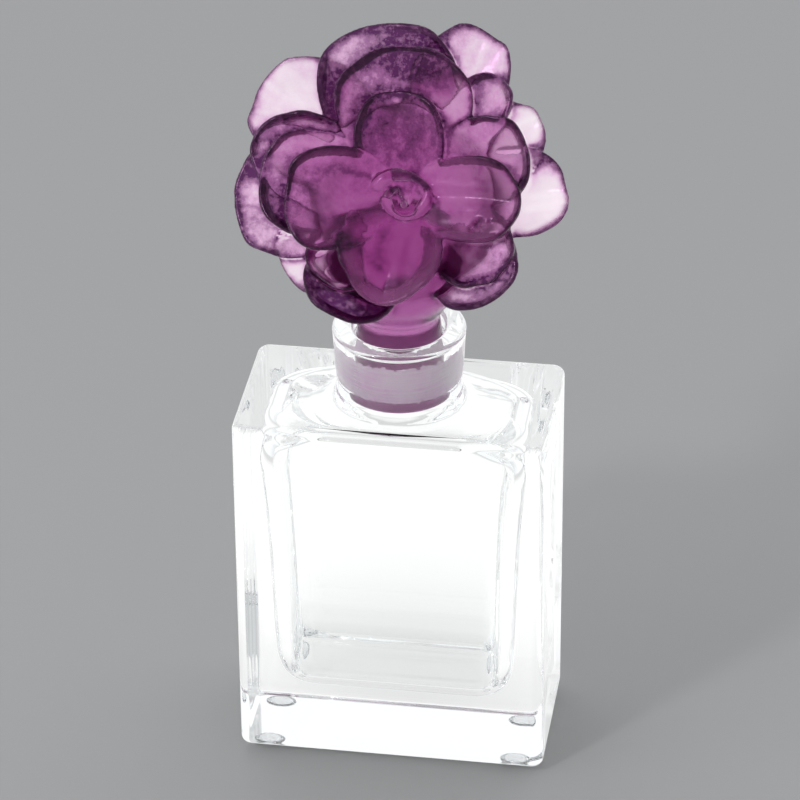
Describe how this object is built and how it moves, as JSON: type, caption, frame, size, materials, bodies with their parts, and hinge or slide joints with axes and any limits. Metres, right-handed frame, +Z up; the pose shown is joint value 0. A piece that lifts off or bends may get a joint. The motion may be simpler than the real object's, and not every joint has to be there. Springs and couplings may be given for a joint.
{
  "type": "perfume bottle",
  "caption": "Thick-walled rectangular glass perfume bottle on clear bumper feet, with a ground neck and a lift-out stopper topped by an open cast-glass flower.",
  "frame": {"origin": "on the neck axis, in the plane that the undersides of the bumper feet rest on", "axes": "+Z up along the neck, -Y towards the front that the flower faces, +X to the bottle's right-hand side seen from the front"},
  "size_m": [0.0727, 0.0438, 0.1717],
  "materials": {
    "clear_glass": "fire-polished clear crystal, ground satin inside the neck",
    "purple_glass": "cast purple glass, pale where thin and deep where thick, softly polished",
    "ground_purple_glass": "purple glass with a fine-ground satin surface",
    "bumper": "clear soft polyurethane"
  },
  "bodies": {
    "bottle": {"bottle": "clear_glass", "foot_front_left": "bumper", "foot_front_right": "bumper", "foot_back_left": "bumper", "foot_back_right": "bumper"},
    "stopper": {"stopper_plug": "ground_purple_glass", "stopper_stem": "purple_glass", "flower_calyx": "purple_glass", "flower_bud": "purple_glass", "inner_petal_top": "purple_glass", "inner_petal_right": "purple_glass", "inner_petal_bottom": "purple_glass", "inner_petal_left": "purple_glass", "middle_petal_top": "purple_glass", "middle_petal_top_right": "purple_glass", "middle_petal_upper_right": "purple_glass", "middle_petal_lower_right": "purple_glass", "middle_petal_lower_left": "purple_glass", "middle_petal_left": "purple_glass", "middle_petal_upper_left": "purple_glass", "outer_petal_top": "purple_glass", "outer_petal_upper_right": "purple_glass", "outer_petal_right_high": "purple_glass", "outer_petal_right": "purple_glass", "outer_petal_lower_right": "purple_glass", "outer_petal_bottom": "purple_glass", "outer_petal_lower_left": "purple_glass", "outer_petal_left": "purple_glass", "outer_petal_upper_left": "purple_glass"}
  },
  "joints": [
    {"name": "stopper_lift", "type": "slide", "parent": "bottle", "child": "stopper", "axis": [0, 0, 1], "range_m": [0, 0.04]}
  ]
}
